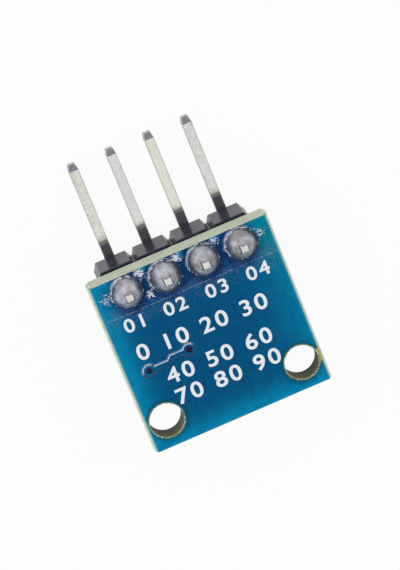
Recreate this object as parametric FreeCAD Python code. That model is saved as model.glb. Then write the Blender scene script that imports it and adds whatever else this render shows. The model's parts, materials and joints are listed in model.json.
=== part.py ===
import FreeCAD, Part
import math
import os

from FreeCAD import Vector

# Temperature and humidity sensor module: a small two-layer board with a four-way
# right-angle pin header. Sizes are in millimetres.
#
# The origin is midway between the two mounting holes, on the laminate's solder side.
# +X runs along the header row, +Y points the way the pins point, and +Z leaves the
# solder side. The header strip, the sensor and the chip parts are on the other side.

# Laminate
board_width = 12.0
board_thickness = 1.5
row_to_holes = 8.70
row_edge_distance = 1.10
hole_edge_distance = 1.75
hole_side_distance = 1.43
hole_diameter = 2.2
score_width = 0.20
score_depth = 0.45

# Copper and solder mask
copper_thickness = 0.035
mask_thickness = 0.025
mask_edge_gap = 0.03
mask_opening_gap = 0.05
mask_step_width = 0.03
plane_edge_gap = 0.35
copper_gap = 0.18
clearance_sides = 16
track_width = 0.20
supply_track_width = 0.30
plating_thickness = 0.025

# Pin header
pin_count = 4
pin_pitch = 2.54
pin_width = 0.64
pin_reach = 7.60
pin_tip_length = 0.58
pin_tip_width = 0.36
tail_height = 1.45
tail_tip_length = 0.32
tail_tip_width = 0.44
pin_bend_radius = 0.30
strip_depth = 2.50
strip_height = 2.50
strip_notch_width = 0.54
strip_notch_depth = 0.45
strip_web_width = 0.08
foot_height = 0.12
foot_width = 0.40
foot_depth = 1.30
pin_grip_clearance = 0.01

# Plated pin holes and their solder
pin_hole_clearance = 0.03
pin_annular_ring = 0.45
joint_height = 1.18
joint_flanks = 4
pad_solder_margin = 0.02

# Links through the board and the jumper track between them
via_drill_diameter = 0.35
via_annular_ring = 0.15
via_left_edge_distance = 1.60
via_left_y = 3.44
via_right_x = -1.63
via_right_y = 3.69
jumper_knee_distance = 1.17
jumper_width = 0.18

# Sensor
sensor_x = 0.35
sensor_y = 1.55
sensor_size = 2.5
sensor_height = 0.9
sensor_edge_bevel = 0.06
sensor_mouth_diameter = 1.35
sensor_window_diameter = 1.0
sensor_window_depth = 0.32
sensor_chip_size = 1.3
sensor_chip_thickness = 0.30
terminal_count_per_side = 4
terminal_pitch = 0.50
terminal_width = 0.25
terminal_length = 0.35
terminal_thickness = 0.20
ground_pad_length = 1.70
ground_pad_width = 1.10
index_mark_diameter = 0.25
index_mark_depth = 0.03
index_mark_inset = 0.40

# Chip resistors and the chip capacitor
chip_length = 1.60
chip_width = 0.80
resistor_height = 0.45
capacitor_height = 0.80
end_cap_length = 0.32
end_cap_thickness = 0.03
resistor_coating_thickness = 0.02
resistor_coating_overlap = 0.05
capacitor_corner_radius = 0.05
data_resistor_offset = -0.65
data_resistor_gap = 1.20
clock_resistor_gap = 1.40
capacitor_gap = 0.50
land_toe = 0.30
land_side_margin = 0.05
paste_thickness = 0.03
fillet_height_share = 0.6
meniscus_share = 0.38

# Tracks on the component side
supply_side_distance = 1.05
supply_bottom_distance = 0.80
supply_hole_gap = 0.25
clock_lane_gap = 0.25
track_corner = 0.60

# Places that follow from the driving dimensions
row_y = row_to_holes
top_y = row_y + row_edge_distance
bottom_y = -hole_edge_distance
half_width = board_width / 2
face_half_width = half_width - score_width
hole_radius = hole_diameter / 2
hole_x = half_width - hole_side_distance
pin_half = pin_width / 2
barrel_radius = pin_half * math.sqrt(2) + pin_hole_clearance
drill_radius = barrel_radius + plating_thickness
pad_radius = drill_radius + pin_annular_ring
via_drill_radius = via_drill_diameter / 2
via_pad_radius = via_drill_radius + via_annular_ring
mask_top = copper_thickness + mask_thickness
seat_height = copper_thickness + paste_thickness
strip_seat_z = -board_thickness - mask_top
strip_near_z = strip_seat_z - foot_height
strip_far_z = strip_near_z - strip_height
pin_xs = [pin_pitch * (index - (pin_count - 1) / 2) for index in range(pin_count)]
supply_pin_x, ground_pin_x, data_pin_x, clock_pin_x = pin_xs[:4]
via_left_x = via_left_edge_distance - half_width
vias = {"left": (via_left_x, via_left_y), "right": (via_right_x, via_right_y)}
terminal_offsets = [
    terminal_pitch * (index - (terminal_count_per_side - 1) / 2)
    for index in range(terminal_count_per_side)
]
terminal_y = sensor_size / 2 - terminal_length / 2
sensor_left = sensor_x - sensor_size / 2
sensor_top = sensor_y + sensor_size / 2
land_half_width = chip_width / 2 + land_side_margin
supply_side_x = supply_side_distance - half_width
supply_bottom_y = bottom_y + supply_bottom_distance
supply_lane_x = hole_x - hole_radius - supply_hole_gap - supply_track_width / 2
clock_lane_x = supply_lane_x - land_half_width - clock_lane_gap - track_width / 2


def box(x_low, x_high, y_low, y_high, z_low, z_high):
    return Part.makeBox(
        x_high - x_low, y_high - y_low, z_high - z_low, Vector(x_low, y_low, z_low)
    )


def centred_box(x, y, length, width, z_low, z_high):
    return box(x - length / 2, x + length / 2, y - width / 2, y + width / 2, z_low, z_high)


def rod(x, y, radius, z_low, z_high):
    return Part.makeCylinder(radius, z_high - z_low, Vector(x, y, z_low))


def prism(corners, direction):
    face = Part.Face(Part.makePolygon(corners + corners[:1]))
    return face.extrude(direction)


def joined(shapes):
    first, *others = shapes
    return first.multiFuse(others).removeSplitter() if others else first


def square_loft(sections):
    """A solid through square sections, each given as centre, half width and two directions."""
    wires = []
    for centre, half, across, along in sections:
        signs = ((-1, -1), (1, -1), (1, 1), (-1, 1))
        corners = [centre + across * (half * a) + along * (half * b) for a, b in signs]
        wires.append(Part.makePolygon(corners + corners[:1]))
    return Part.makeLoft(wires, True, True)


def to_component_side(shape):
    """Turns a shape built upward from the face at Z = 0 onto the board's other face."""
    return shape.mirror(Vector(0, 0, -board_thickness / 2), Vector(0, 0, 1))


def many_sided(x, y, radius, z_low, z_high):
    """A prism drawn round a circle, for the small outlines that are round only in name."""
    step = 2 * math.pi / clearance_sides
    corner_radius = radius / math.cos(step / 2)
    corners = [
        Vector(
            x + corner_radius * math.cos(step * (index + 0.5)),
            y + corner_radius * math.sin(step * (index + 0.5)),
            z_low,
        )
        for index in range(clearance_sides)
    ]
    return prism(corners, Vector(0, 0, z_high - z_low))


# Flat layers. Each is drawn standing on Z = 0, wider by grow on every side.

def band(route, width, grow, height):
    """A track of one width with mitred corners; its ends lie inside lands or other tracks."""
    half = width / 2 + grow
    runs = [Vector(b[0] - a[0], b[1] - a[1], 0) for a, b in zip(route, route[1:])]
    mitres = [half * math.tan(a.getAngle(b) / 2) for a, b in zip(runs, runs[1:])]
    strips = []
    for start, run, before, after in zip(route, runs, [0] + mitres, mitres + [0]):
        strip = box(-before, run.Length + after, -half, half, 0, height)
        strip.rotate(Vector(0, 0, 0), Vector(0, 0, 1), math.degrees(math.atan2(run.y, run.x)))
        strip.translate(Vector(start[0], start[1], 0))
        strips.append(strip)
    return joined(strips)


def land(x, y, length, width, grow, height):
    return centred_box(x, y, length + 2 * grow, width + 2 * grow, 0, height)


def chip_end(x, y, upright, sign):
    """Centre of the land under one end of a chip part, and the land's two sizes."""
    reach = chip_length / 2 - end_cap_length
    land_length = end_cap_length + land_toe
    middle = sign * (reach + land_length / 2)
    width = chip_width + 2 * land_side_margin
    if upright:
        return x, y + middle, width, land_length
    return x + middle, y, land_length, width


def sensor_land(column, row_sign):
    """Centre of the land under one sensor terminal, and the land's two sizes."""
    length = terminal_length + land_toe
    y = sensor_y + row_sign * (sensor_size / 2 - terminal_length + length / 2)
    return sensor_x + terminal_offsets[column], y, terminal_width, length


def chip_land(part_x, part_y, upright, sign, grow, height):
    return land(*chip_end(part_x, part_y, upright, sign), grow, height)


def land_middle(place):
    return place[0], place[1]


data_resistor = (
    sensor_x + data_resistor_offset, sensor_top + data_resistor_gap + chip_width / 2, False
)
clock_resistor = (supply_lane_x, sensor_top + clock_resistor_gap + chip_width / 2, True)
capacitor = (sensor_left - capacitor_gap - chip_width / 2, sensor_y, True)
other_pin_xs = [x for x in pin_xs if x != ground_pin_x]
data_terminal = sensor_land(0, 1)
address_terminal = sensor_land(1, 1)
alert_terminal = sensor_land(2, 1)
clock_terminal = sensor_land(3, 1)
ground_terminal = sensor_land(0, -1)
spare_ground_terminal = sensor_land(1, -1)
reset_terminal = sensor_land(2, -1)
supply_terminal = sensor_land(3, -1)


def supply_track(grow, height):
    """From the supply pin down the left side, below the sensor and up to the clock resistor."""
    capacitor_end = land_middle(chip_end(*capacitor, -1))
    resistor_end = land_middle(chip_end(*clock_resistor, -1))
    terminal = land_middle(supply_terminal)
    route = [
        (supply_pin_x, row_y),
        (supply_pin_x, row_y - pad_radius),
        (supply_side_x, row_y - pad_radius - (supply_pin_x - supply_side_x)),
        (supply_side_x, via_left_y),
        (-supply_lane_x, via_left_y - (-supply_lane_x - supply_side_x)),
        (-supply_lane_x, supply_bottom_y + track_corner),
        (track_corner - supply_lane_x, supply_bottom_y),
        (supply_lane_x - track_corner, supply_bottom_y),
        (supply_lane_x, supply_bottom_y + track_corner),
        resistor_end,
    ]
    branches = [
        [(supply_side_x, via_left_y), vias["left"]],
        [(-supply_lane_x, capacitor_end[1]), capacitor_end],
        [terminal, (terminal[0], supply_bottom_y)],
    ]
    return joined([
        band(route, supply_track_width, grow, height),
        *[band(branch, track_width, grow, height) for branch in branches],
        chip_land(*capacitor, -1, grow, height),
        chip_land(*clock_resistor, -1, grow, height),
        land(*supply_terminal, grow, height),
    ])


def supply_branch(grow, height):
    """From the right-hand link to the data resistor."""
    route = [vias["right"], land_middle(chip_end(*data_resistor, -1))]
    return joined([
        band(route, track_width, grow, height),
        chip_land(*data_resistor, -1, grow, height),
    ])


def data_track(grow, height):
    """From the data pin past its resistor to the sensor."""
    resistor_x, resistor_y = land_middle(chip_end(*data_resistor, 1))
    sensor_end_x, sensor_end_y = land_middle(data_terminal)
    route = [
        (data_pin_x, row_y),
        (data_pin_x, resistor_y + (data_pin_x - resistor_x)),
        (resistor_x, resistor_y),
        (resistor_x, sensor_end_y + (resistor_x - sensor_end_x)),
        (sensor_end_x, sensor_end_y),
    ]
    return joined([
        band(route, track_width, grow, height),
        chip_land(*data_resistor, 1, grow, height),
        land(*data_terminal, grow, height),
    ])


def clock_track(grow, height):
    """From the clock pin past its resistor to the sensor."""
    resistor_x, resistor_y = land_middle(chip_end(*clock_resistor, 1))
    sensor_end_x, sensor_end_y = land_middle(clock_terminal)
    route = [
        (clock_pin_x, row_y),
        (clock_pin_x, resistor_y + (clock_pin_x - resistor_x)),
        (resistor_x, resistor_y),
        (clock_lane_x, resistor_y),
        (clock_lane_x, sensor_end_y + (clock_lane_x - sensor_end_x)),
        (sensor_end_x, sensor_end_y),
    ]
    return joined([
        band(route, track_width, grow, height),
        chip_land(*clock_resistor, 1, grow, height),
        land(*clock_terminal, grow, height),
    ])


def spare_lands(grow, height):
    """Lands of the two sensor terminals that nothing is wired to."""
    return Part.makeCompound([
        land(*alert_terminal, grow, height),
        land(*reset_terminal, grow, height),
    ])


def ground_lands(grow, height):
    """Lands that the component-side ground plane reaches."""
    return [
        chip_land(*capacitor, 1, grow, height),
        land(*address_terminal, grow, height),
        land(*ground_terminal, grow, height),
        land(*spare_ground_terminal, grow, height),
        land(sensor_x, sensor_y, ground_pad_length, ground_pad_width, grow, height),
    ]


def jumper_track(grow, height):
    """The short track on the solder side, from one link to the other."""
    (left_x, left_y), (right_x, right_y) = vias["left"], vias["right"]
    knee_x = right_x - jumper_knee_distance
    route = [
        (left_x, left_y),
        (knee_x - abs(right_y - left_y), left_y),
        (knee_x, right_y),
        (right_x, right_y),
    ]
    return band(route, jumper_width, grow, height)


def pin_clearances(xs, gap, height):
    return [many_sided(x, row_y, pad_radius + gap, 0, height) for x in xs]


def via_clearances(gap, height):
    return [many_sided(x, y, via_pad_radius + gap, 0, height) for x, y in vias.values()]


def plane_sheet(grow, height):
    """Copper kept clear of the board's edges and of the mounting holes."""
    gap = plane_edge_gap - grow
    sheet = box(
        gap - face_half_width, face_half_width - gap, bottom_y + gap, top_y - gap, 0, height
    )
    for x in (-hole_x, hole_x):
        sheet = sheet.cut(many_sided(x, 0, hole_radius + gap, 0, height))
    return sheet


def island_round(shape, place):
    """The piece of a cut-up layer that lies round one place."""
    probe = Part.Vertex(Vector(place[0], place[1], copper_thickness))
    return min(shape.Solids, key=lambda solid: solid.distToShape(probe)[0])


def solder_side_plane(grow, height):
    gap = copper_gap - grow
    cuts = pin_clearances(other_pin_xs, gap, height) + via_clearances(gap, height)
    sheet = plane_sheet(grow, height).cut(cuts + [jumper_track(gap, height)])
    return island_round(sheet, (ground_pin_x, row_y))


def component_side_plane(grow, height):
    gap = copper_gap - grow
    others = [
        supply_track(gap, height),
        supply_branch(gap, height),
        data_track(gap, height),
        clock_track(gap, height),
        spare_lands(gap, height),
    ]
    cuts = pin_clearances(other_pin_xs, gap, height) + via_clearances(gap, height)
    sheet = plane_sheet(grow, height).cut(cuts + others)
    sheet = island_round(sheet, (ground_pin_x, row_y))
    return joined([sheet] + [piece.cut(others) for piece in ground_lands(grow, height)])


def copper(layer):
    """A copper layer with the plated holes' own rings taken out of it."""
    rings = [rod(x, row_y, pad_radius, 0, copper_thickness) for x in pin_xs]
    return layer(0, copper_thickness).cut(rings + via_clearances(0, copper_thickness))


solder_side_layers = [solder_side_plane, jumper_track]
component_side_layers = [
    component_side_plane, supply_track, supply_branch, data_track, clock_track, spare_lands
]


def solder_mask(layers, soldered):
    """The mask of one face: raised over the copper, open at whatever is soldered."""
    face_width = face_half_width - mask_edge_gap
    mask = box(
        -face_width, face_width, bottom_y + mask_edge_gap, top_y - mask_edge_gap,
        0, mask_thickness,
    )
    raised = [layer(mask_step_width, mask_top) for layer in layers]
    raised += via_clearances(mask_step_width, mask_top)
    mask = joined([mask] + raised)
    under = [layer(0, copper_thickness) for layer in layers]
    under += via_clearances(0, copper_thickness)
    hole_opening = hole_radius + mask_opening_gap
    openings = [many_sided(x, 0, hole_opening, 0, mask_top) for x in (-hole_x, hole_x)]
    openings += pin_clearances(pin_xs, mask_opening_gap, mask_top)
    return mask.cut(under + openings + soldered)


def soldered_lands():
    gap, height = mask_opening_gap, mask_top
    chip_ends = [
        chip_land(*part, sign, gap, height)
        for part in (data_resistor, clock_resistor, capacitor) for sign in (-1, 1)
    ]
    terminals = [
        land(*sensor_land(column, sign), gap, height)
        for column in range(terminal_count_per_side) for sign in (-1, 1)
    ]
    middle = land(sensor_x, sensor_y, ground_pad_length, ground_pad_width, gap, height)
    return chip_ends + terminals + [middle]


# Laminate and plating

def board_core():
    """Laminate snapped out of its panel: bevelled down both sides, with a rough web between."""
    low = -board_thickness
    outline = [
        Vector(-face_half_width, bottom_y, 0),
        Vector(face_half_width, bottom_y, 0),
        Vector(half_width, bottom_y, -score_depth),
        Vector(half_width, bottom_y, low + score_depth),
        Vector(face_half_width, bottom_y, low),
        Vector(-face_half_width, bottom_y, low),
        Vector(-half_width, bottom_y, low + score_depth),
        Vector(-half_width, bottom_y, -score_depth),
    ]
    core = prism(outline, Vector(0, top_y - bottom_y, 0))
    holes = [rod(x, 0, hole_radius, low, 0) for x in (-hole_x, hole_x)]
    holes += [rod(x, row_y, drill_radius, low, 0) for x in pin_xs]
    holes += [many_sided(x, y, via_drill_radius, low, 0) for x, y in vias.values()]
    return core.cut(holes)


def plated_hole(column, x, y, outer_radius, ring_radius):
    """Copper barrel with a ring on each face of the laminate, made of rods or prisms."""
    top = copper_thickness
    bottom = -board_thickness - copper_thickness
    barrel = column(x, y, outer_radius, bottom, top)
    upper_ring = column(x, y, ring_radius, 0, top)
    lower_ring = column(x, y, ring_radius, bottom, -board_thickness)
    bore = column(x, y, outer_radius - plating_thickness, bottom, top)
    return joined([barrel, upper_ring, lower_ring]).cut(bore)


# Pin header

def header_pin(x):
    """One square pin: soldered tail, bend below the strip and a long mating end."""
    across, forward, up = Vector(1, 0, 0), Vector(0, 1, 0), Vector(0, 0, 1)
    bend_y = row_y + pin_half + pin_bend_radius
    lower_z = strip_far_z - pin_bend_radius - pin_half
    tip_y = row_y + pin_reach
    shank = square_loft([
        (Vector(x, row_y, tail_height), tail_tip_width / 2, across, forward),
        (Vector(x, row_y, tail_height - tail_tip_length), pin_half, across, forward),
        (Vector(x, row_y, strip_far_z), pin_half, across, forward),
    ])
    section = Part.Face(Part.makePolygon([
        Vector(x - pin_half, row_y - pin_half, strip_far_z),
        Vector(x + pin_half, row_y - pin_half, strip_far_z),
        Vector(x + pin_half, row_y + pin_half, strip_far_z),
        Vector(x - pin_half, row_y + pin_half, strip_far_z),
        Vector(x - pin_half, row_y - pin_half, strip_far_z),
    ]))
    bend = section.revolve(Vector(x, bend_y, strip_far_z), across, 90)
    mating_end = square_loft([
        (Vector(x, bend_y, lower_z), pin_half, across, up),
        (Vector(x, tip_y - pin_tip_length, lower_z), pin_half, across, up),
        (Vector(x, tip_y, lower_z), pin_tip_width / 2, across, up),
    ])
    return joined([shank, bend, mating_end])


def header_strip():
    """Moulded strip of square units with a snap notch between neighbours, on small feet."""
    length = pin_pitch * pin_count
    half_depth = strip_depth / 2
    strip = centred_box(0, row_y, length, strip_depth, strip_far_z, strip_near_z)
    notch_half = strip_notch_width / 2
    web_half = strip_web_width / 2
    notches = []
    feet = []
    for index in range(pin_count + 1):
        x = pin_pitch * (index - pin_count / 2)
        for side in (-1, 1):
            face_y = row_y + side * half_depth
            inner_y = face_y - side * strip_notch_depth
            corners = [
                Vector(x - notch_half, face_y, strip_far_z),
                Vector(x - web_half, inner_y, strip_far_z),
                Vector(x + web_half, inner_y, strip_far_z),
                Vector(x + notch_half, face_y, strip_far_z),
            ]
            notches.append(prism(corners, Vector(0, 0, strip_height)))
        foot_left = max(x - foot_width / 2, -length / 2)
        foot_right = min(x + foot_width / 2, length / 2)
        feet.append(box(
            foot_left, foot_right, row_y - foot_depth / 2, row_y + foot_depth / 2,
            strip_near_z, strip_seat_z,
        ))
    grip = pin_width + 2 * pin_grip_clearance
    bores = [centred_box(x, row_y, grip, grip, strip_far_z, strip_near_z) for x in pin_xs]
    return joined([strip.cut(notches)] + feet).cut(bores)


def solder_joint(x, pin):
    """Solder that fills a plated hole and stands over its pad as a full dome round the tail."""
    base_radius = pad_radius - pad_solder_margin
    bottom = -board_thickness - copper_thickness
    crown_angle = math.acos(tail_tip_width / 2 / base_radius)
    flank_ends = []
    for index in range(joint_flanks + 1):
        angle = crown_angle * index / joint_flanks
        rise = (joint_height - copper_thickness) * math.sin(angle)
        flank_ends.append(Vector(base_radius * math.cos(angle), 0, copper_thickness + rise))
    profile = [
        Vector(0, 0, bottom),
        Vector(barrel_radius, 0, bottom),
        Vector(barrel_radius, 0, copper_thickness),
        *flank_ends,
        Vector(0, 0, flank_ends[-1].z),
    ]
    face = Part.Face(Part.makePolygon(profile + profile[:1]))
    joint = face.revolve(Vector(0, 0, 0), Vector(0, 0, 1), 360)
    joint.translate(Vector(x, row_y, 0))
    return joint.cut(pin)


# Sensor, drawn standing on the lands

def sensor_terminal_blocks():
    blocks = []
    for offset in terminal_offsets:
        for sign in (-1, 1):
            blocks.append(centred_box(
                sensor_x + offset, sensor_y + sign * terminal_y,
                terminal_width, terminal_length, seat_height, seat_height + terminal_thickness,
            ))
    return blocks


def sensor_ground_pad():
    return centred_box(
        sensor_x, sensor_y, ground_pad_length, ground_pad_width,
        seat_height, seat_height + terminal_thickness,
    )


def sensor_chip():
    base = seat_height + terminal_thickness
    return centred_box(
        sensor_x, sensor_y, sensor_chip_size, ground_pad_width, base, base + sensor_chip_thickness
    )


def sensor_package():
    """Moulded body round the terminals and the chip, with a flared round window over the chip."""
    top = seat_height + sensor_height
    chip_top = seat_height + terminal_thickness + sensor_chip_thickness
    body = centred_box(sensor_x, sensor_y, sensor_size, sensor_size, seat_height, top)
    top_face = max(body.Faces, key=lambda face: face.CenterOfMass.z)
    body = body.makeChamfer(sensor_edge_bevel, top_face.Edges)
    neck_top = top - sensor_window_depth
    window = rod(sensor_x, sensor_y, sensor_window_diameter / 2, chip_top, neck_top)
    mouth = Part.makeCone(
        sensor_window_diameter / 2, sensor_mouth_diameter / 2, sensor_window_depth,
        Vector(sensor_x, sensor_y, neck_top),
    )
    mark_x = sensor_left + index_mark_inset
    mark_y = sensor_top - index_mark_inset
    mark = many_sided(mark_x, mark_y, index_mark_diameter / 2, top - index_mark_depth, top)
    inside = [sensor_chip(), sensor_ground_pad()] + sensor_terminal_blocks()
    return body.cut([window, mouth, mark] + inside)


def sensor_solder():
    """Solder under each terminal, with a toe out on its land, and under the middle pad."""
    pieces = [centred_box(
        sensor_x, sensor_y, ground_pad_length, ground_pad_width, copper_thickness, seat_height
    )]
    toe = land_toe - land_side_margin
    for offset in terminal_offsets:
        for sign in (-1, 1):
            face_y = sensor_y + sign * sensor_size / 2
            left = sensor_x + offset - terminal_width / 2
            corners = [
                Vector(left, face_y - sign * terminal_length, copper_thickness),
                Vector(left, face_y + sign * toe, copper_thickness),
                Vector(left, face_y, seat_height + terminal_thickness * fillet_height_share),
                Vector(left, face_y, seat_height),
                Vector(left, face_y - sign * terminal_length, seat_height),
            ]
            pieces.append(prism(corners, Vector(terminal_width, 0, 0)))
    return Part.makeCompound(pieces)


# Chip parts, drawn lying along X about the origin and then put in their place

def placed(shape, part):
    x, y, upright = part
    if upright:
        shape.rotate(Vector(0, 0, 0), Vector(0, 0, 1), 90)
    shape.translate(Vector(x, y, 0))
    return to_component_side(shape)


def chip_block(height, around):
    """The ceramic inside the end caps; around says whether the caps also cover its sides."""
    wall = end_cap_thickness
    width = chip_width - 2 * wall if around else chip_width
    return centred_box(
        0, 0, chip_length - 2 * wall, width, seat_height + wall, seat_height + height - wall
    )


def end_caps(height, around):
    block = chip_block(height, around)
    caps = []
    for sign in (-1, 1):
        middle = sign * (chip_length - end_cap_length) / 2
        cap = centred_box(
            middle, 0, end_cap_length, chip_width, seat_height, seat_height + height
        )
        if around:
            end_face = max(cap.Faces, key=lambda face: sign * face.CenterOfMass.x)
            cap = cap.makeFillet(capacitor_corner_radius, end_face.Edges)
        caps.append(cap.cut(block))
    return Part.makeCompound(caps)


def resistor_coating():
    """Dark glass coat over the resistive film, between the two end caps."""
    top = seat_height + resistor_height - end_cap_thickness
    length = chip_length - 2 * end_cap_length
    width = chip_width - 2 * resistor_coating_overlap
    return centred_box(0, 0, length, width, top, top + resistor_coating_thickness)


def end_solder(height):
    """Solder under and outside both end caps, hollow like a meniscus."""
    rise = seat_height + height * fillet_height_share
    half = chip_length / 2
    toe = half + land_toe - land_side_margin
    wall_x = half - end_cap_length
    middle_x = half + (toe - half) * meniscus_share
    middle_z = copper_thickness + (rise - copper_thickness) * meniscus_share
    side_y = -chip_width / 2
    inner_foot = Vector(wall_x, side_y, copper_thickness)
    outer_foot = Vector(toe, side_y, copper_thickness)
    hollow = Vector(middle_x, side_y, middle_z)
    crest = Vector(half, side_y, rise)
    cap_corner = Vector(half, side_y, seat_height)
    inner_top = Vector(wall_x, side_y, seat_height)
    outline = Part.Wire([
        Part.makeLine(inner_foot, outer_foot),
        Part.Arc(outer_foot, hollow, crest).toShape(),
        Part.makeLine(crest, cap_corner),
        Part.makeLine(cap_corner, inner_top),
        Part.makeLine(inner_top, inner_foot),
    ])
    right = Part.Face(outline).extrude(Vector(0, chip_width, 0))
    left = right.mirror(Vector(0, 0, 0), Vector(1, 0, 0))
    return Part.makeCompound([left, right])


def build():
    nodes = {"board_core": board_core()}

    nodes["ground_plane_solder_side"] = copper(solder_side_plane)
    nodes["jumper_track_solder_side"] = copper(jumper_track)
    nodes["ground_plane_component_side"] = to_component_side(copper(component_side_plane))
    nodes["supply_track"] = to_component_side(copper(supply_track))
    nodes["supply_branch_track"] = to_component_side(copper(supply_branch))
    nodes["data_track"] = to_component_side(copper(data_track))
    nodes["clock_track"] = to_component_side(copper(clock_track))
    nodes["spare_terminal_lands"] = to_component_side(copper(spare_lands))
    nodes["solder_mask_solder_side"] = solder_mask(solder_side_layers, [])
    nodes["solder_mask_component_side"] = to_component_side(
        solder_mask(component_side_layers, soldered_lands())
    )

    for name, (x, y) in vias.items():
        link = plated_hole(many_sided, x, y, via_drill_radius, via_pad_radius)
        nodes["link_through_board_" + name] = link

    nodes["header_strip"] = header_strip()
    for number, x in enumerate(pin_xs, start=1):
        pin = header_pin(x)
        nodes["plated_hole_%d" % number] = plated_hole(rod, x, row_y, drill_radius, pad_radius)
        nodes["header_pin_%d" % number] = pin
        nodes["solder_joint_%d" % number] = solder_joint(x, pin)

    nodes["sensor_package"] = to_component_side(sensor_package())
    nodes["sensor_chip"] = to_component_side(sensor_chip())
    nodes["sensor_ground_pad"] = to_component_side(sensor_ground_pad())
    nodes["sensor_terminals"] = to_component_side(Part.makeCompound(sensor_terminal_blocks()))
    nodes["sensor_solder"] = to_component_side(sensor_solder())

    for name, part in (("data", data_resistor), ("clock", clock_resistor)):
        prefix = name + "_resistor_"
        nodes[prefix + "body"] = placed(chip_block(resistor_height, False), part)
        nodes[prefix + "coating"] = placed(resistor_coating(), part)
        nodes[prefix + "end_caps"] = placed(end_caps(resistor_height, False), part)
        nodes[prefix + "solder"] = placed(end_solder(resistor_height), part)

    nodes["capacitor_body"] = placed(chip_block(capacitor_height, True), capacitor)
    nodes["capacitor_end_caps"] = placed(end_caps(capacitor_height, True), capacitor)
    nodes["capacitor_solder"] = placed(end_solder(capacitor_height), capacitor)
    return nodes


os.makedirs("parts", exist_ok=True)
for node, shape in build().items():
    shape.exportStep(os.path.join("parts", node + ".step"))
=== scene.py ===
from functools import partial
import json
import math

import bmesh
import bpy
from bpy.props import FloatProperty, FloatVectorProperty, PointerProperty, StringProperty
from bpy.types import Operator, Panel, PropertyGroup
from mathutils import Matrix, Vector, noise


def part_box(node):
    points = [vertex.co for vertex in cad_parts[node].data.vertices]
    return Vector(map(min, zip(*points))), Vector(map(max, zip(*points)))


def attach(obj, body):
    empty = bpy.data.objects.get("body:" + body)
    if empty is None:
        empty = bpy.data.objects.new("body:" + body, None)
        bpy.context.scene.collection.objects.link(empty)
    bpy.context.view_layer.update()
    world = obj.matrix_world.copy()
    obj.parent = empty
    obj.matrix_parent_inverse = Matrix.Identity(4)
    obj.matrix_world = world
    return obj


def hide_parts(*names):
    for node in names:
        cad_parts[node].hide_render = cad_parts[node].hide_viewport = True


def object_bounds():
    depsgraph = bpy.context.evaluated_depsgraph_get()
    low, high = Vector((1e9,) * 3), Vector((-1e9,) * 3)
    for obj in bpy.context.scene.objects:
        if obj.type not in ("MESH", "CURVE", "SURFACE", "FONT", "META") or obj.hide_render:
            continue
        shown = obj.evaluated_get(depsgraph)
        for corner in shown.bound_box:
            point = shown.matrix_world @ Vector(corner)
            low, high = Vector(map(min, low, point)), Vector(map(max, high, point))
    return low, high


bl_info = {
    "name": "Temperature and humidity sensor module",
    "version": (1, 0, 0),
    "blender": (4, 5, 0),
    "location": "3D View > Sidebar > Sensor module",
    "description": "Finishes, print, solder and studio for a small sensor board with a pin header",
    "category": "Object",
}

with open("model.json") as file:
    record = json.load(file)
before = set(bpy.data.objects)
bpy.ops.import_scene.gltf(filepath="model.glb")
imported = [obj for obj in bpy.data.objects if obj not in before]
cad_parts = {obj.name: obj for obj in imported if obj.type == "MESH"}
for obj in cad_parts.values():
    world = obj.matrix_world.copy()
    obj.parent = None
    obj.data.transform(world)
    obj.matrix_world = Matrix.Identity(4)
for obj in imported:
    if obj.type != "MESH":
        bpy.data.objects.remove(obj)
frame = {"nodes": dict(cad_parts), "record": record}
cad_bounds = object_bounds()
cad_nodes = frame["nodes"]

MM = 0.001
PER_MM = 1 / MM
BODY = "root"
PIN_NUMBERS = range(1, 5)
LINKS = ("left", "right")
RESISTORS = ("data", "clock")
MERGE_DISTANCE = 1e-7
PRINT_MERGE_DISTANCE = 0.0005 * MM

# Dried flux in the gaps between the joints, white partly as painted highlights: x, y and reach
# in mm, and how closed it is in its middle, and at its edge
FLUX_AND_HIGHLIGHT_SPLASHES = (
    (-2.70, 9.50, 0.50, 0.13), (-0.22, 9.50, 0.46, 0.12), (2.30, 9.52, 0.42, 0.10),
    (-2.52, 7.98, 0.40, 0.12), (-5.15, 8.75, 0.50, 0.03), (5.10, 8.95, 0.55, 0.02),
)
SPLASH_EDGE = -0.12
# Threads of it beside a joint's foot, partly painted highlights: distance and width in mm, and
# strength
FLUX_AND_HIGHLIGHT_THREADS = ((0.07, 0.022, 0.95), (0.16, 0.018, 0.60))
# Where it was wiped off below the pin row, the way that groove slopes with a painted highlight
# face and the least slope for one, and how far past the strip the pins' painted dark reflection
# runs
WIPED_BELOW_ROW = 1.35 * MM
HIGHLIGHT_FACING = Vector((0.35, -0.94))
HIGHLIGHT_LEAST_SLOPE = 0.12
DARK_REFLECTION_PAST_STRIP = 1.0 * MM
# The snapped tab: in from the right-hand edge, along it, and how far it is rubbed and torn
TAB_INSET, TAB_Y, TAB_RUBBED, TAB_TORN = 0.30 * MM, -0.03 * MM, 0.38 * MM, 0.50 * MM
# The relief that the mask has round a link overlaps the link's own edge.
LINK_LAP = 0.09 * MM
PIT_RADIUS, PIT_RIM, PIT_LIFT, PIT_DEPTH = 0.20 * MM, 0.05 * MM, 0.004 * MM, 0.003 * MM
# Centres of the three printed lines in mm, and where the numbers stand beside the pins
LINE_PLACES = ((-0.35, 4.75), (-0.03, 2.59), (0.02, 1.11))
PIN_NUMBER_Y, PIN_NUMBER_SPREAD = 6.65 * MM, 1.09
# A joint's climb up its tail, in shares of half a pin's width and of the dome's height
MENISCUS = ((1.36, 0.965), (1.12, 1.00), (0.94, 1.06), (0.78, 1.13), (0.0, 1.13))
# Sides round a dome and round its flux collar, the dome's rings, and the degrees between them
DOME_SIDES, COLLAR_SIDES, DOME_RINGS, RING_STEP = 56, 64, 19, 3.2
# A flux collar's section: share of its reach, and mm beyond the joint's foot and above the mask
COLLAR = (
    (0, -0.04, -0.004), (0, -0.02, 0.07), (0, 0.03, 0.03), (0.6, 0, 0.012), (1, 0, 0.001),
    (1, 0, -0.004),
)

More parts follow.
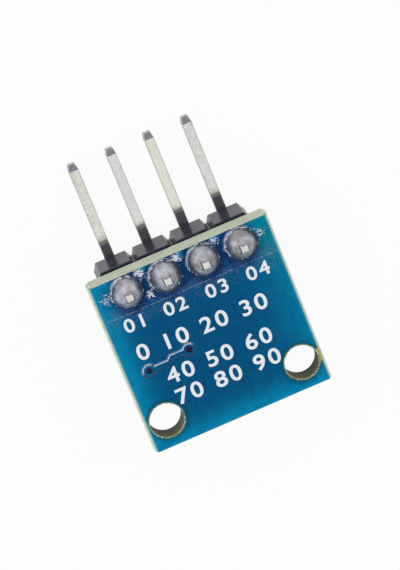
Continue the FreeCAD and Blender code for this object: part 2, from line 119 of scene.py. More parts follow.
# The studio, in metres
FLOOR_HALF, FLOOR_GAP = 0.6, 0.01 * MM
LAMP_PLACE, LAMP_TARGET, LAMP_WIDTH = Vector((-0.22, 0.20, 0.30)), Vector((0, 0.006, 0)), 0.25
# The dark camera stand overhead: its direction, where it fades, and what light it leaves
STAND_DIRECTION, STAND_EDGE, STAND_CORE = (-0.05, 0.30, 0.95), math.radians(27), math.radians(16)
STAND_LIGHT = 0.20
# The photograph's camera, fitted to the board's corners, holes, joints and pins
CAMERA_PLACE = (-9.486 * MM, 67.183 * MM, 188.294 * MM)
CAMERA_RIGHT = Vector((0.91782, -0.36159, 0.16386))
CAMERA_UP = Vector((0.39376, 0.88175, -0.25975))


def middle(node):
    low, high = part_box(node)
    return (low + high) / 2


# Places that the frame gives
hole_dims = frame["record"]["mounts"][0]["dims"]
hole_x = hole_dims["spacing_x_mm"] * MM / 2
hole_radius = hole_dims["hole_r_mm"] * MM
# Where the chipped ring round a mounting hole and the scorched mask begin to fade, and end
chipped_ring = (hole_radius + 0.03 * MM, hole_radius + 0.07 * MM)
scorched_ring = (hole_radius + 0.10 * MM, hole_radius + 0.36 * MM)
board_low, board_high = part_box("board_core")
mask_low, mask_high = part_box("solder_mask_solder_side")
mask_top = mask_high.z
copper_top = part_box("ground_plane_solder_side")[1].z
strip_low, strip_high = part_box("header_strip")
joint_low, joint_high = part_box("solder_joint_1")
joint_radius = (joint_high.x - joint_low.x) / 2
pin_low, pin_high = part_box("header_pin_1")
pin_xs = [middle("header_pin_%d" % number).x for number in PIN_NUMBERS]
pin_pitch = pin_xs[1] - pin_xs[0]
pin_half = (pin_high.x - pin_low.x) / 2
row_y = middle("solder_joint_1").y
link_places = {name: middle("link_through_board_" + name) for name in LINKS}
link_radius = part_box("link_through_board_left")[1].x - link_places["left"].x


def colour(text):
    """Linear RGBA of an sRGB hex colour."""
    parts = [int(text[start:start + 2], 16) / 255 for start in (1, 3, 5)]
    linear = [
        part / 12.92 if part <= 0.04045 else ((part + 0.055) / 1.055) ** 2.4 for part in parts
    ]
    return (*linear, 1.0)


def colour_property(name, description, text):
    return FloatVectorProperty(
        name=name, description=description, default=colour(text), size=4, subtype="COLOR",
        min=0.0, max=1.0,
    )


def length_property(name, description, millimetres):
    return FloatProperty(
        name=name, description=description, default=millimetres * MM, subtype="DISTANCE",
        unit="LENGTH", precision=5, min=0.0,
    )


def number_property(name, description, value, **limits):
    return FloatProperty(name=name, description=description, default=value, **limits)


def print_property(name, numbers):
    return StringProperty(name=name, description="Numbers of the " + name.lower(), default=numbers)


# Sizes and colours that a user would change

class BoardSettings(PropertyGroup):
    mask: colour_property("Mask", "Solder mask over the ground plane", "#01507F")
    mask_edge: colour_property("Mask near an edge", "Mask where light comes through", "#0090BC")
    # The mask's flux tone is also painted shade round and between the joints.
    mask_flux_and_shade: colour_property("Mask under flux", "Mask between the solder joints", "#053169")
    # The flux crust's pale tone is partly painted highlight.
    flux_crust_and_highlights: colour_property("Flux crust", "Dried flux round the solder joints", "#E2EAF4")
    laminate: colour_property("Laminate", "Cut edges of the glass-epoxy board", "#CFD8BE")
    # The drilled wall's tone is partly smeared resin and partly painted shade inside the holes.
    drilled_wall: colour_property("Drilled wall", "Resin smeared in the mounting holes", "#4C4F3B")
    glow_depth: length_property("Glow depth", "How far light from an edge reaches", 0.95)
    groove_width: length_property("Groove width", "Relief beside the jumper track", 0.145)
    groove_depth: length_property("Groove depth", "How deep the relief dips", 0.033)
    jumper_half_width: length_property("Jumper half width", "Half of the raised track", 0.12)
    jumper_knee: length_property("Jumper knee", "From the right-hand link to the bend", 1.17)


class PrintSettings(PropertyGroup):
    ink: colour_property("Ink", "White print on the mask", "#F6FAFF")
    ink_thickness: length_property("Ink thickness", "Height of the print above the mask", 0.01)
    line_height: length_property("Line height", "Height of the large numbers", 1.06)
    pin_number_height: length_property("Pin number height", "Height of the pins' numbers", 0.90)
    stroke_growth: number_property(
        "Stroke growth", "How much bolder than the plain typeface", 0.018, min=0.0, max=0.1,
    )
    letter_width: number_property(
        "Letter width", "Stretch of the digits along their line", 1.14, min=0.5, max=2.0,
    )
    letter_spacing: number_property(
        "Letter spacing", "Distance between digits, 1 being plain type", 1.22, min=0.5, max=3.0,
    )
    first_line: print_property("First line", "0 10 20 30")
    second_line: print_property("Second line", "40 50 60")
    third_line: print_property("Third line", "70 80 90")


class SolderSettings(PropertyGroup):
    solder: colour_property("Solder", "Hand-soldered tin alloy", "#C9CBD6")
    joint_height: length_property("Joint height", "Height of a dome above its pad", 1.145)
    flux_reach: length_property("Flux reach", "How far flux spreads from a joint's foot", 0.13)
    lumpiness: length_property("Lumpiness", "How uneven a dome's surface is", 0.02)


class HeaderSettings(PropertyGroup):
    plating: colour_property("Plating", "Bright tin over drawn brass", "#E2E1D6")
    swaged_tip: colour_property("Swaged tip", "Pinched flanks of a pin's ends", "#BDBDC6")
    plastic: colour_property("Plastic", "Moulded black polyester", "#27253B")
    tail_tip_width: length_property("Tail tip width", "Across the soldered tail's end", 0.44)
    tail_tip_length: length_property("Tail tip length", "Taper of the soldered tail", 0.32)
    tip_width: length_property("Tip width", "Across the mating end", 0.42)
    tip_length: length_property("Tip length", "Taper of the mating end", 0.46)
    bend_radius: length_property("Bend radius", "Inside of a pin's bend", 0.30)
    pin_edge: length_property("Pin edge", "Rounding of a pin's edges", 0.035)
    plastic_edge: length_property("Plastic edge", "Rounding of the strip's edges", 0.08)


class PartSettings(PropertyGroup):
    mould: colour_property("Sensor mould", "Moulded epoxy of the sensor", "#26262A")
    silicon: colour_property("Silicon", "Polished sensing chip", "#3C3D4E")
    ceramic: colour_property("Ceramic", "Fired alumina of the resistors", "#E9E6DC")
    overcoat: colour_property("Overcoat", "Protective glass on the resistors", "#17181B")
    capacitor: colour_property("Capacitor", "Fired ceramic of the capacitor", "#B08A5E")
    end_cap: colour_property("End cap", "Matte tin on the chip parts' ends", "#C9C9C6")
    part_edge: length_property("Part edge", "Rounding of the small parts' edges", 0.025)


class StageSettings(PropertyGroup):
    floor: colour_property("Floor", "Plain pale floor", "#F4F4F4")
    surround: number_property("Surround", "Strength of the light from all round", 0.72, min=0.0)
    key_power: number_property("Key power", "Large soft lamp", 0.30, min=0.0, unit="POWER")
    lens: number_property("Lens", "Focal length", 203.37, min=1.0, unit="CAMERA")


# Nodes and materials

# The setting that the second word of a node's kind gives
VARIANTS = {
    "Math": "operation", "VectorMath": "operation", "MapRange": "interpolation_type",
    "Mix": "data_type",
}


def add_node(tree, kind, *values, **named):
    """Adds a node of a kind such as "Math ADD", its inputs given in order or by name.

    An input is given a number, a colour, a hex colour, a node or a socket.
    """
    kind, _, variant = kind.partition(" ")
    made = tree.nodes.new("ShaderNode" + kind)
    if variant:
        setattr(made, VARIANTS[kind], variant)
    given = list(zip([socket for socket in made.inputs if socket.enabled], values))
    given += [(made.inputs[name.replace("_", " ")], value) for name, value in named.items()]
    for socket, value in given:
        if isinstance(value, str):
            value = colour(value)
        if isinstance(value, bpy.types.Node):
            value = next(output for output in value.outputs if output.enabled)
        if isinstance(value, bpy.types.NodeSocket):
            tree.links.new(value, socket)
        else:
            socket.default_value = value
    return made


def new_finish(name):
    """A new material, the function that adds to its nodes, and its Object coordinates."""
    material = bpy.data.materials.new(name)
    material.use_nodes = True
    material.node_tree.nodes.clear()
    add = partial(add_node, material.node_tree)
    return material, add, add("TexCoord").outputs["Object"]


def finished(material, add, base, roughness, relief=None, **others):
    """Closes a material with its surface; relief is a pattern, its height and its strength."""
    if relief:
        pattern, height, strength = relief
        others["Normal"] = add("Bump", Height=pattern, Distance=height, Strength=strength)
    add("OutputMaterial", add("BsdfPrincipled", Base_Color=base, Roughness=roughness, **others))
    return material


def layered(add, base, *layers):
    """Lays tones over a base, each as thickly as its pattern says."""
    for pattern, tone in layers:
        base = add("Mix RGBA", pattern, base, tone)
    return base


def patches(add, place, size, low, high, start=0.0, end=1.0, detail=3.0, roughness=0.5):
    """Uneven patches about size mm across: noise from low to high becomes start to end."""
    uneven = add("TexNoise", place, PER_MM / size, detail, roughness)
    return add("MapRange", uneven, low, high, start, end)


def dress(material, *nodes):
    """Gives CAD nodes their finish."""
    for node in nodes:
        mesh = cad_nodes[node].data
        mesh.materials.clear()
        mesh.materials.append(material)


# Meshes and pieces

def draw_to(bm, vert, point):
    """Draws an edge on from a vertex to a point, and gives the vertex at its end."""
    end = bmesh.ops.extrude_vert_indiv(bm, verts=[vert])["verts"][0]
    end.co = point
    return end


def turned(profile, steps, closed=False):
    """A bmesh of a section's radii and heights, turned once round the vertical axis."""
    bm = bmesh.new()
    first = last = bm.verts.new((profile[0][0], 0, profile[0][1]))
    for radius, height in profile[1:]:
        last = draw_to(bm, last, (radius, 0, height))
    if closed:
        bmesh.ops.contextual_create(bm, geom=[last, first])
    bmesh.ops.spin(
        bm, geom=bm.verts[:] + bm.edges[:], cent=(0, 0, 0), axis=(0, 0, 1),
        angle=2 * math.pi, steps=steps, use_merge=True,
    )
    bmesh.ops.remove_doubles(bm, verts=bm.verts, dist=MERGE_DISTANCE)
    bmesh.ops.recalc_face_normals(bm, faces=bm.faces)
    return bm


def round_edges(bm, radius):
    """Rounds the edges at which two faces meet at more than 30 degrees."""
    sharp = [
        edge for edge in bm.edges
        if len(edge.link_faces) == 2 and edge.calc_face_angle() > math.radians(30)
    ]
    bmesh.ops.bevel(
        bm, geom=sharp, offset=radius, offset_type="OFFSET", segments=2, profile=0.5,
        affect="EDGES", material=-1, clamp_overlap=True,
    )


def lumps(point, seed, large, small, share):
    """Noise of two sizes in mm, the small one weighed by its share."""
    coarse = noise.noise(point / (large * MM) + seed)
    return coarse + share * noise.noise(point / (small * MM) + seed)


def object_from(bm, name, *materials):
    """Makes an object of a bmesh and puts it in the scene."""
    mesh = bpy.data.meshes.new(name)
    bm.to_mesh(mesh)
    bm.free()
    for material in materials:
        mesh.materials.append(material)
    made = bpy.data.objects.new(name, mesh)
    bpy.context.scene.collection.objects.link(made)
    return made


def piece_from(bm, name, slot, *materials, even=False, crease=40):
    """A piece that rides on the board, smooth where it turns by less than crease degrees."""
    piece = object_from(bm, name, *materials)
    piece.data.shade_smooth()
    piece.data.set_sharp_from_angle(angle=math.radians(crease))
    if even:
        # Large flat faces stay flat between their rounded edges.
        weighted = piece.modifiers.new("even_faces", "WEIGHTED_NORMAL")
        weighted.keep_sharp = True
        weighted.weight = 100
    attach(piece, BODY)
    return piece


def rounded_copy(node, name, slot, radius, material):
    """A copy of a CAD node with its sharp edges rounded."""
    bm = bmesh.new()
    bm.from_mesh(cad_nodes[node].data)
    bmesh.ops.remove_doubles(bm, verts=bm.verts, dist=MERGE_DISTANCE)
    bmesh.ops.dissolve_limit(
        bm, angle_limit=math.radians(1), use_dissolve_boundaries=False,
        verts=bm.verts, edges=bm.edges,
    )
    round_edges(bm, radius)
    piece = piece_from(bm, name, slot, material, even=True)
    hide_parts(node)


# Finishes, with the patterns' sizes in mm. A pixel of the main view is about 0.06 mm, so the
# grain of foil, plating, ink, solder and ceramic, which is finer, is drawn 0.05 to 0.08 mm coarse.

def from_mounting_hole(add, x, y):
    """Distance from the axis of the nearer mounting hole."""
    across = add("Math SUBTRACT", add("Math ABSOLUTE", x), hole_x)
    return add("VectorMath LENGTH", add("CombineXYZ", across, y))


def rubbed_tab(add, place):
    """1 where the board was torn and rubbed as a tab was snapped off by the right-hand hole."""
    tab = (board_high.x - TAB_INSET, TAB_Y, mask_top)
    ragged = patches(add, place, 0.3, 0.3, 0.7, -0.08 * MM, 0.08 * MM, roughness=0.6)
    distance = add("Math ADD", add("VectorMath DISTANCE", place, tab), ragged)
    return add("MapRange SMOOTHSTEP", distance, TAB_RUBBED, TAB_TORN, 1.0, 0.0)


def laminate_finish(board):
    """Glass-epoxy laminate, sawn and snapped: pale, fibrous and layered on its cut edges."""
    material, add, place = new_finish("glass_epoxy_laminate_cut_edge")
    x, y, z = add("SeparateXYZ", place).outputs
    # Layers of glass cloth show as uneven stripes about 0.18 mm apart.
    flattened = add("VectorMath MULTIPLY", place, (0.15, 0.15, 1.0))
    layers = add("TexNoise", flattened, PER_MM / 0.18, 2.0)
    # Torn fibres stand in tufts about a quarter of a millimetre across.
    tufts = add("TexNoise", place, PER_MM / 0.22, 4.0, 0.65)
    fibrous = add("Math MULTIPLY_ADD", layers, 0.45, add("Math MULTIPLY", tufts, 0.55))
    shade = add("MapRange", fibrous, 0.36, 0.62, 0.74, 1.08)
    pale = add("VectorMath SCALE", board.laminate[:3], shade)
    # Mask light bleeds a little way down into the snapped sides.
    lowest = add("MapRange", x, mask_low.x, mask_high.x, -0.34 * MM, -0.30 * MM)
    bled = add("MapRange SMOOTHSTEP", z, lowest, -0.02 * MM)
    side = add("Math GREATER_THAN", add("Math ABSOLUTE", x), mask_high.x)
    torn = layered(
        add, "#BFD0AE", (add("MapRange", tufts, 0.35, 0.60), "#EAF3DF"), (bled, "#2C9DAC"),
    )
    pale = layered(add, pale, (side, torn), (rubbed_tab(add, place), "#C2B76A"))
    # Drilling bares a pale olive ring round a hole, flaked white in a few places, and it smears
    # and browns the resin of the wall. The wall is painted lighter near the top and darker to near
    # black at the bottom, as painted light and shade in the hole.
    flakes = patches(add, place, 0.16, 0.50, 0.58, roughness=0.6)
    rim = layered(add, "#87896C", (flakes, "#D6E6DC"))
    face = add("Math GREATER_THAN", z, -0.02 * MM)
    upper = add("MapRange SMOOTHSTEP", z, -0.60 * MM, -0.04 * MM, 0.0, 0.75)
    lower = add("MapRange SMOOTHSTEP", z, board_low.z, 0.6 * board_low.z, 0.80, 0.0)
    wall = layered(add, board.drilled_wall, (upper, "#857F4C"), (lower, "#1C1B1A"), (face, rim))
    from_hole = from_mounting_hole(add, x, y)
    smear = add(
        "MapRange", from_hole, hole_radius + 0.01 * MM, hole_radius + 0.05 * MM, 1.0, 0.40,
    )
    near = add("Math LESS_THAN", from_hole, hole_radius + 0.12 * MM)
    drilled = add("Math MULTIPLY", add("Math MAXIMUM", smear, face), near)
    base = layered(add, pale, (drilled, wall))
    return finished(material, add, base, 0.62, (fibrous, 0.05 * MM, 0.7), IOR=1.54)


def from_pin_row(add, x, y):
    """Distance from the nearest pin's axis, and how far to that pin's upper left a point is."""
    limit = 2 * pin_pitch - 0.01 * MM
    held = add("Clamp", x, -limit, limit)
    counted = add("Math DIVIDE", add("Math ADD", held, 2 * pin_pitch), pin_pitch)
    wrapped = add("Math SUBTRACT", add("Math FRACT", counted), 0.5)
    sideways = add("Math MULTIPLY_ADD", wrapped, pin_pitch, add("Math SUBTRACT", x, held))
    along = add("Math SUBTRACT", y, row_y)
    distance = add("VectorMath LENGTH", add("CombineXYZ", sideways, along))
    return distance, add("Math MULTIPLY_ADD", sideways, -0.6, add("Math MULTIPLY", along, 0.8))


def flux_and_highlight_threads(add, place, distance, lean):
    """Thin broken threads of dried flux round a joint's foot, white partly as painted highlights,
    mostly on one side of it.
    """
    wander = patches(add, place, 0.45, 0.3, 0.7, -0.05 * MM, 0.05 * MM, roughness=0.6)
    line = 0.0
    for offset, width, strength in FLUX_AND_HIGHLIGHT_THREADS:
        near = add("Math ADD", distance, wander)
        away = add("Math ABSOLUTE", add("Math SUBTRACT", near, joint_radius + offset * MM))
        thread = add(
            "MapRange SMOOTHSTEP", away, width * MM / 2, width * MM * 1.5, strength, 0.0,
        )
        line = add("Math MAXIMUM", line, thread)
    breaks = add("TexNoise", place, PER_MM / 0.26, 3.0, 0.6)
    side = add("MapRange", lean, -0.6 * MM, 0.8 * MM, -0.12, 0.10)
    return add("Math MULTIPLY", line, add("MapRange", add("Math ADD", breaks, side), 0.48, 0.54))


def edge_glow(add, x, y, depth):
    """1 at the board's edges, where the laminate lights the mask from below, falling to 0."""
    # The ground plane runs nearer to the right-hand side, which leaves less bare laminate there.
    left = add("Math SUBTRACT", x, mask_low.x)
    right = add("Math MULTIPLY_ADD", add("Math SUBTRACT", mask_high.x, x), 0.5, 0.45 * MM)
    below = add("Math SUBTRACT", y, mask_low.y)
    above = add("Math SUBTRACT", mask_high.y, y)
    ends = add("Math SMOOTH_MIN", below, above, 0.4 * MM)
    nearest = add("Math SMOOTH_MIN", add("Math MINIMUM", left, right), ends, 0.5 * MM)
    share = add("Math DIVIDE", add("Math MAXIMUM", nearest, 0.0), depth)
    return add("Math POWER", math.e, add("Math MULTIPLY", add("Math POWER", share, 1.5), -1.0))


def mask_finish(name, board, soldered):
    """Liquid photo-imaged epoxy mask: glossy, faintly uneven, lighter where no copper backs it."""
    material, add, place = new_finish(name)
    x, y, _ = add("SeparateXYZ", place).outputs
    # The coat pools and thins over about 2 mm, which mottles the tone a little.
    mottle = add("TexNoise", place, PER_MM / 1.9, 3.0, 0.6)
    uneven = add("MapRange", mottle, 0.3, 0.7, 0.72, 1.15)
    glow = add("Math MULTIPLY", edge_glow(add, x, y, board.glow_depth), uneven)
    fine = patches(add, place, 0.16, 0.35, 0.7, 0.0, 0.12, 4.0, 0.6)
    # The drill's heat tints it greener round the mounting holes.
    from_hole = from_mounting_hole(add, x, y)
    scorch = add("MapRange SMOOTHSTEP", from_hole, *scorched_ring, 0.80, 0.0)
    # It is chipped back to a pale olive ring at their rims.
    chips = patches(add, place, 0.20, 0.35, 0.65, 0.0, 0.07 * MM, 4.0, 0.7)
    chipped = add("Math SUBTRACT", from_hole, chips)
    ring = add("MapRange SMOOTHSTEP", chipped, *chipped_ring, 0.85, 0.0)
    # Faint darker blotches show where the coat is thicker.
    blotch = patches(add, place, 0.7, 0.50, 0.68, 0.0, 0.22, 4.0, 0.6)
    base = layered(
        add, board.mask, (glow, board.mask_edge), (fine, board.mask_edge), (scorch, "#0A5159"),
        (ring, "#7F957F"), (blotch, board.mask_flux_and_shade),
    )
    if soldered:
        base = layered(add, base, *soldering_marks(add, place, x, y, board))
    roughness = add("MapRange", mottle, 0.3, 0.7, 0.26, 0.40)
    ripple = add("TexNoise", place, PER_MM / 0.30, 2.0)
    return finished(
        material, add, base, roughness, (ripple, 0.006 * MM, 0.5),
        IOR=1.52, Specular_IOR_Level=0.04,
    )


def soldering_marks(add, place, x, y, board):
    """Layers that lie on the mask's own colour: flux with painted shade and painted highlights,
    the iron's heat and the rubbed tab.
    """
    distance, lean = from_pin_row(add, x, y)
    # Flux stains the mask between the joints, and less beyond the outer ones; its darkening close
    # round the joints is also painted shade.
    ragged = add("TexNoise", place, PER_MM / 0.55, 3.0, 0.6)
    reach = add("Math ADD", distance, add("MapRange", ragged, 0.3, 0.7, -0.20 * MM, 0.20 * MM))
    stain = add("MapRange SMOOTHSTEP", reach, 1.25 * MM, 1.75 * MM, 0.92, 0.0)
    outer = add("MapRange SMOOTHSTEP", add("Math ABSOLUTE", x), 3.9 * MM, 4.9 * MM, 1.0, 0.30)
    # The iron's heat tints the mask greener beyond the last joint.
    beyond = add("MapRange SMOOTHSTEP", x, 4.0 * MM, 5.4 * MM, 0.0, 0.30)
    upward = add("MapRange SMOOTHSTEP", y, 5.5 * MM, 8.0 * MM)
    # A thin haze of flux lies below the joints.
    below = add("Math SUBTRACT", row_y - WIPED_BELOW_ROW, y)
    from_wipe = add("Math ABSOLUTE", below)
    haze = add("MapRange SMOOTHSTEP", from_wipe, 0.1 * MM, 1.1 * MM, 0.13, 0.0)
    cloud = patches(add, place, 0.8, 0.42, 0.66, detail=5.0, roughness=0.7)
    # It dries to thin pale threads that follow a joint's foot, and to flakes in the gaps; both are
    # partly painted highlights.
    crust_and_highlights = flux_and_highlight_threads(add, place, distance, lean)
    flakes = add("TexNoise", place, PER_MM / 0.13, 5.0, 0.7)
    for spot_x, spot_y, reach, closed in FLUX_AND_HIGHLIGHT_SPLASHES:
        away = add("VectorMath DISTANCE", place, (spot_x * MM, spot_y * MM, mask_top))
        near = add("MapRange", away, 0.0, reach * MM, closed, SPLASH_EDGE)
        splash = add("MapRange", add("Math ADD", flakes, near), 0.505, 0.545)
        inside = add("Math GREATER_THAN", near, SPLASH_EDGE)
        crust_and_highlights = add("Math MAXIMUM", crust_and_highlights, add("Math MULTIPLY", splash, inside))
    # Specks of it lie scattered below the row.
    specks = patches(add, place, 0.07, 0.655, 0.685, 0.0, 0.7, roughness=0.6)
    strewn = add("MapRange SMOOTHSTEP", from_wipe, 0.3 * MM, 1.3 * MM, 1.0, 0.0)
    # A broken hairline marks where it was wiped off.
    wobble = add("MapRange", ragged, 0.3, 0.7, -0.02 * MM, 0.02 * MM)
    wiped = add("Math ABSOLUTE", add("Math ADD", below, wobble))
    hairline = add("MapRange", wiped, 0.010 * MM, 0.030 * MM, 0.32, 0.0)
    broken = add("MapRange", flakes, 0.46, 0.52)
    for mark, share in ((specks, strewn), (hairline, broken)):
        crust_and_highlights = add("Math MAXIMUM", crust_and_highlights, add("Math MULTIPLY", mark, share))
    return (
        (add("Math MULTIPLY", stain, outer), board.mask_flux_and_shade),
        (add("Math MULTIPLY", beyond, upward), "#008C84"),
        (add("Math MULTIPLY", haze, cloud), "#8C7F98"),
        (crust_and_highlights, board.flux_crust_and_highlights),
        (rubbed_tab(add, place), "#A8A04F"),
    )


def groove_finish(name, board, painted_highlight):
    """The same mask where it dips beside a track: shiny, with painted shade darkening its bottom
    and a painted highlight on the slopes that face one way.
    """
    material, add, place = new_finish(name)
    z = add("SeparateXYZ", place).outputs["Z"]
    # Painted shade darkens the groove towards its bottom.
    depth = add("MapRange", z, mask_top - board.groove_depth, mask_top, 1.0, 0.0)
    deep = add("Math MULTIPLY", depth, patches(add, place, 0.5, 0.3, 0.7, 0.55, 0.95, 2.0))
    # The painted highlight on the slopes that face one way is broken into patches.
    crumbs = patches(add, place, 0.55, 0.38, 0.50, 0.35, 1.0, roughness=0.6)
    lodged = add("Math MULTIPLY", crumbs, painted_highlight)
    base = layered(add, "#085C8C", (deep, "#041238"), (lodged, "#E9E6F6"))
    return finished(material, add, base, 0.14, IOR=1.55, Specular_IOR_Level=0.3)


def link_finish():
    """Mask sagged into a link's bore: a dark, glossy purple-brown pit."""
    material, add, place = new_finish("solder_mask_sagged_in_link")
    base = layered(add, "#0C0A2A", (patches(add, place, 0.2, 0.3, 0.7), "#1C1238"))
    return finished(material, add, base, 0.25, IOR=1.52, Specular_IOR_Level=0.15)


def copper_finish():
    """Electroplated copper foil: pinkish, fine-grained, a little tarnished."""
    material, add, place = new_finish("electroplated_copper_foil")
    grain = add("TexNoise", place, PER_MM / 0.08, 4.0)
    base = layered(add, "#D08A66", (patches(add, place, 0.9, 0.35, 0.7), "#9C5B42"))
    roughness = add("MapRange", grain, 0.3, 0.7, 0.28, 0.45)
    return finished(material, add, base, roughness, (grain, 0.004 * MM, 0.4), Metallic=1.0)


def tinned_finish(name, shade, dull):
    """Matte plated tin: grey-white with a fine satin grain."""
    material, add, place = new_finish(name)
    grain = add("TexNoise", place, PER_MM / 0.06, 4.0)
    base = layered(add, shade, (patches(add, place, 0.5, 0.3, 0.7, 0.0, 0.6), "#8E8C92"))
    roughness = add("MapRange", grain, 0.3, 0.7, dull - 0.08, dull + 0.08)
    return finished(material, add, base, roughness, (grain, 0.003 * MM, 0.4), Metallic=1.0)


def ink_finish(ink):
    """Screen-printed white epoxy ink: matte, thin at its edges, faintly blue from the mask."""
    material, add, place = new_finish("screen_printed_white_ink")
    thin = patches(add, place, 0.25, 0.50, 0.75, 0.0, 0.30, 4.0, 0.6)
    grain = add("TexNoise", place, PER_MM / 0.05, 3.0)
    base = layered(add, ink, (thin, "#C6D9F2"))
    return finished(material, add, base, 0.55, (grain, 0.004 * MM, 0.5), IOR=1.50)


def solder_finish(name, shade):
    """Hand-soldered tin alloy: satin, streaked where it froze, with a brown-grey flux haze."""
    material, add, place = new_finish(name)
    stretched = add("VectorMath MULTIPLY", place, (1.0, 1.0, 0.35))
    streaks = add("TexNoise", stretched, PER_MM / 0.34, 4.0, 0.6)
    haze = patches(add, place, 0.7, 0.44, 0.62, 0.0, 0.60, roughness=0.6)
    base = layered(
        add, "#A4A5AC", (add("MapRange", streaks, 0.35, 0.65), shade), (haze, "#87827C"),
    )
    roughness = add("MapRange", streaks, 0.3, 0.7, 0.50, 0.36)
    fine = add("TexNoise", place, PER_MM / 0.08, 4.0)
    relief = add("Math MULTIPLY_ADD", fine, 0.25, streaks)
    return finished(material, add, base, roughness, (relief, 0.02 * MM, 0.6), Metallic=1.0)


def pin_finish(plating):
    """Bright tin plated over drawn brass wire: glossy, with faint draw lines and cloudy areas."""
    material, add, place = new_finish("bright_tin_over_drawn_brass")
    x, y, z = add("SeparateXYZ", place).outputs
    # Draw lines run the length of the wire. Real ones are finer than a pixel, so these are coarse.
    drawn = add("VectorMath MULTIPLY", place, (1.0, 0.04, 0.04))
    lines = add("TexNoise", drawn, PER_MM / 0.07, 3.0)
    faint = add("MapRange", lines, 0.40, 0.65, 0.0, 0.25)
    # Handling leaves dull freckles, more on the outer pins, and the tone changes from pin to pin.
    freckles = patches(add, place, 0.13, 0.45, 0.62, detail=4.0, roughness=0.7)
    outer = add("MapRange", add("Math ABSOLUTE", x), pin_pitch, 1.5 * pin_pitch, 0.22, 0.46)
    handled = add("Math MULTIPLY", freckles, outer)
    batch = patches(add, drawn, 2.2, 0.40, 0.60, detail=1.0)
    # A darker line of painted shade runs beside each long edge.
    from_axis = add("Math PINGPONG", add("Math SUBTRACT", x, pin_xs[0]), pin_pitch / 2)
    beside = add("Math ABSOLUTE", add("Math SUBTRACT", from_axis, pin_half - 0.03 * MM))
    painted_edge_shade = add("MapRange", beside, 0.008 * MM, 0.024 * MM, 0.55, 0.0)
    # A painted dark reflection: the side that faces the board is painted grey and less metallic
    # from the strip to a little past it.
    dark_reflection_end = strip_high.y + DARK_REFLECTION_PAST_STRIP
    film = add("MapRange", y, dark_reflection_end, dark_reflection_end + 0.05 * MM, 1.0, 0.0)
    top_z = pin_low.z + 2 * pin_half
    upper = add("MapRange", z, top_z - 0.06 * MM, top_z - 0.02 * MM)
    outside = add("Math LESS_THAN", z, strip_low.z)
    film = add("Math MULTIPLY", film, add("Math MULTIPLY", upper, outside))
    base = layered(
        add, plating, (batch, "#DCDDDC"), (handled, "#9B9A94"), (faint, "#B5B4A4"),
        (painted_edge_shade, "#6E6C6A"), (film, "#95979C"),
    )
    metallic = add("Math MULTIPLY_ADD", film, -0.25, 1.0)
    cloudy = patches(add, place, 0.40, 0.35, 0.7, 0.07, 0.14)
    return finished(material, add, base, cloudy, (lines, 0.004 * MM, 0.4), Metallic=metallic)


def swaged_finish(swaged_tip):
    """Pin metal squeezed by the cutting tool: dull, dark and scored."""
    material, add, place = new_finish("swaged_tin_flank")
    scores = add("TexNoise", place, PER_MM / 0.10, 4.0, 0.6)
    base = layered(add, swaged_tip, (add("MapRange", scores, 0.35, 0.7), "#84828C"))
    return finished(material, add, base, 0.38, (scores, 0.01 * MM, 0.5), Metallic=1.0)


def plastic_finish(name, shade, gloss, size):
    """Moulded plastic: an even skin with a faint grain of a size in mm, and paler scuffs."""
    material, add, place = new_finish(name)
    grain = add("TexNoise", place, PER_MM / size, 4.0, 0.6)
    scuffs = patches(add, place, size * 5, 0.50, 0.72, 0.0, 0.40, 4.0, 0.7)
    base = layered(add, shade, (scuffs, "#5A5964"))
    roughness = add("MapRange", grain, 0.3, 0.7, gloss - 0.05, gloss + 0.08)
    return finished(material, add, base, roughness, (grain, 0.008 * MM, 0.5), IOR=1.52)


def fired_finish(name, shade, speck, gloss):
    """Fired ceramic or glass: hard, fine-grained, with small specks."""
    material, add, place = new_finish(name)
    specks = add("TexNoise", place, PER_MM / 0.07, 4.0, 0.7)
    base = layered(add, shade, (add("MapRange", specks, 0.52, 0.72, 0.0, 0.6), speck))
    roughness = add("MapRange", specks, 0.3, 0.7, gloss, gloss + 0.12)
    return finished(material, add, base, roughness, (specks, 0.004 * MM, 0.4), IOR=1.6)


def silicon_finish(silicon):
    """Polished silicon under a thin polymer film: dark, mirror-like, faintly coloured."""
    material, add, place = new_finish("polished_silicon_with_sensing_film")
    film = patches(add, place, 0.4, 0.35, 0.65, detail=2.0)
    base = layered(add, silicon, (film, "#5B5277"))
    return finished(
        material, add, base, 0.12, Metallic=0.6, IOR=1.55, Coat_Weight=0.5, Coat_Roughness=0.08,
    )


def flux_and_shade_finish(board):
    """Dried flux: a dark glassy film over the mask, its darkness partly painted shade round a
    joint's foot, broken in places into a white crust that is partly painted highlight.
    """
    material, add, place = new_finish("dried_flux_and_painted_shade")
    x, y, _ = add("SeparateXYZ", place).outputs
    distance, lean = from_pin_row(add, x, y)
    lumpy = add("TexNoise", place, PER_MM / 0.22, 5.0, 0.7)
    side = add("MapRange", lean, -0.8 * MM, 0.9 * MM, -0.14, 0.10)
    flakes = add("MapRange", add("Math ADD", lumpy, side), 0.62, 0.66, 0.0, 0.85)
    crust_and_highlights = add("Math MAXIMUM", flakes, flux_and_highlight_threads(add, place, distance, lean))
    stain = patches(add, place, 0.4, 0.35, 0.65)
    base = layered(add, "#08294E", (stain, "#1C3A4C"), (crust_and_highlights, board.flux_crust_and_highlights))
    roughness = add("MapRange", crust_and_highlights, 0.0, 1.0, 0.20, 0.55)
    return finished(
        material, add, base, roughness, (lumpy, 0.02 * MM, 0.6),
        IOR=1.50, Specular_IOR_Level=0.35,
    )


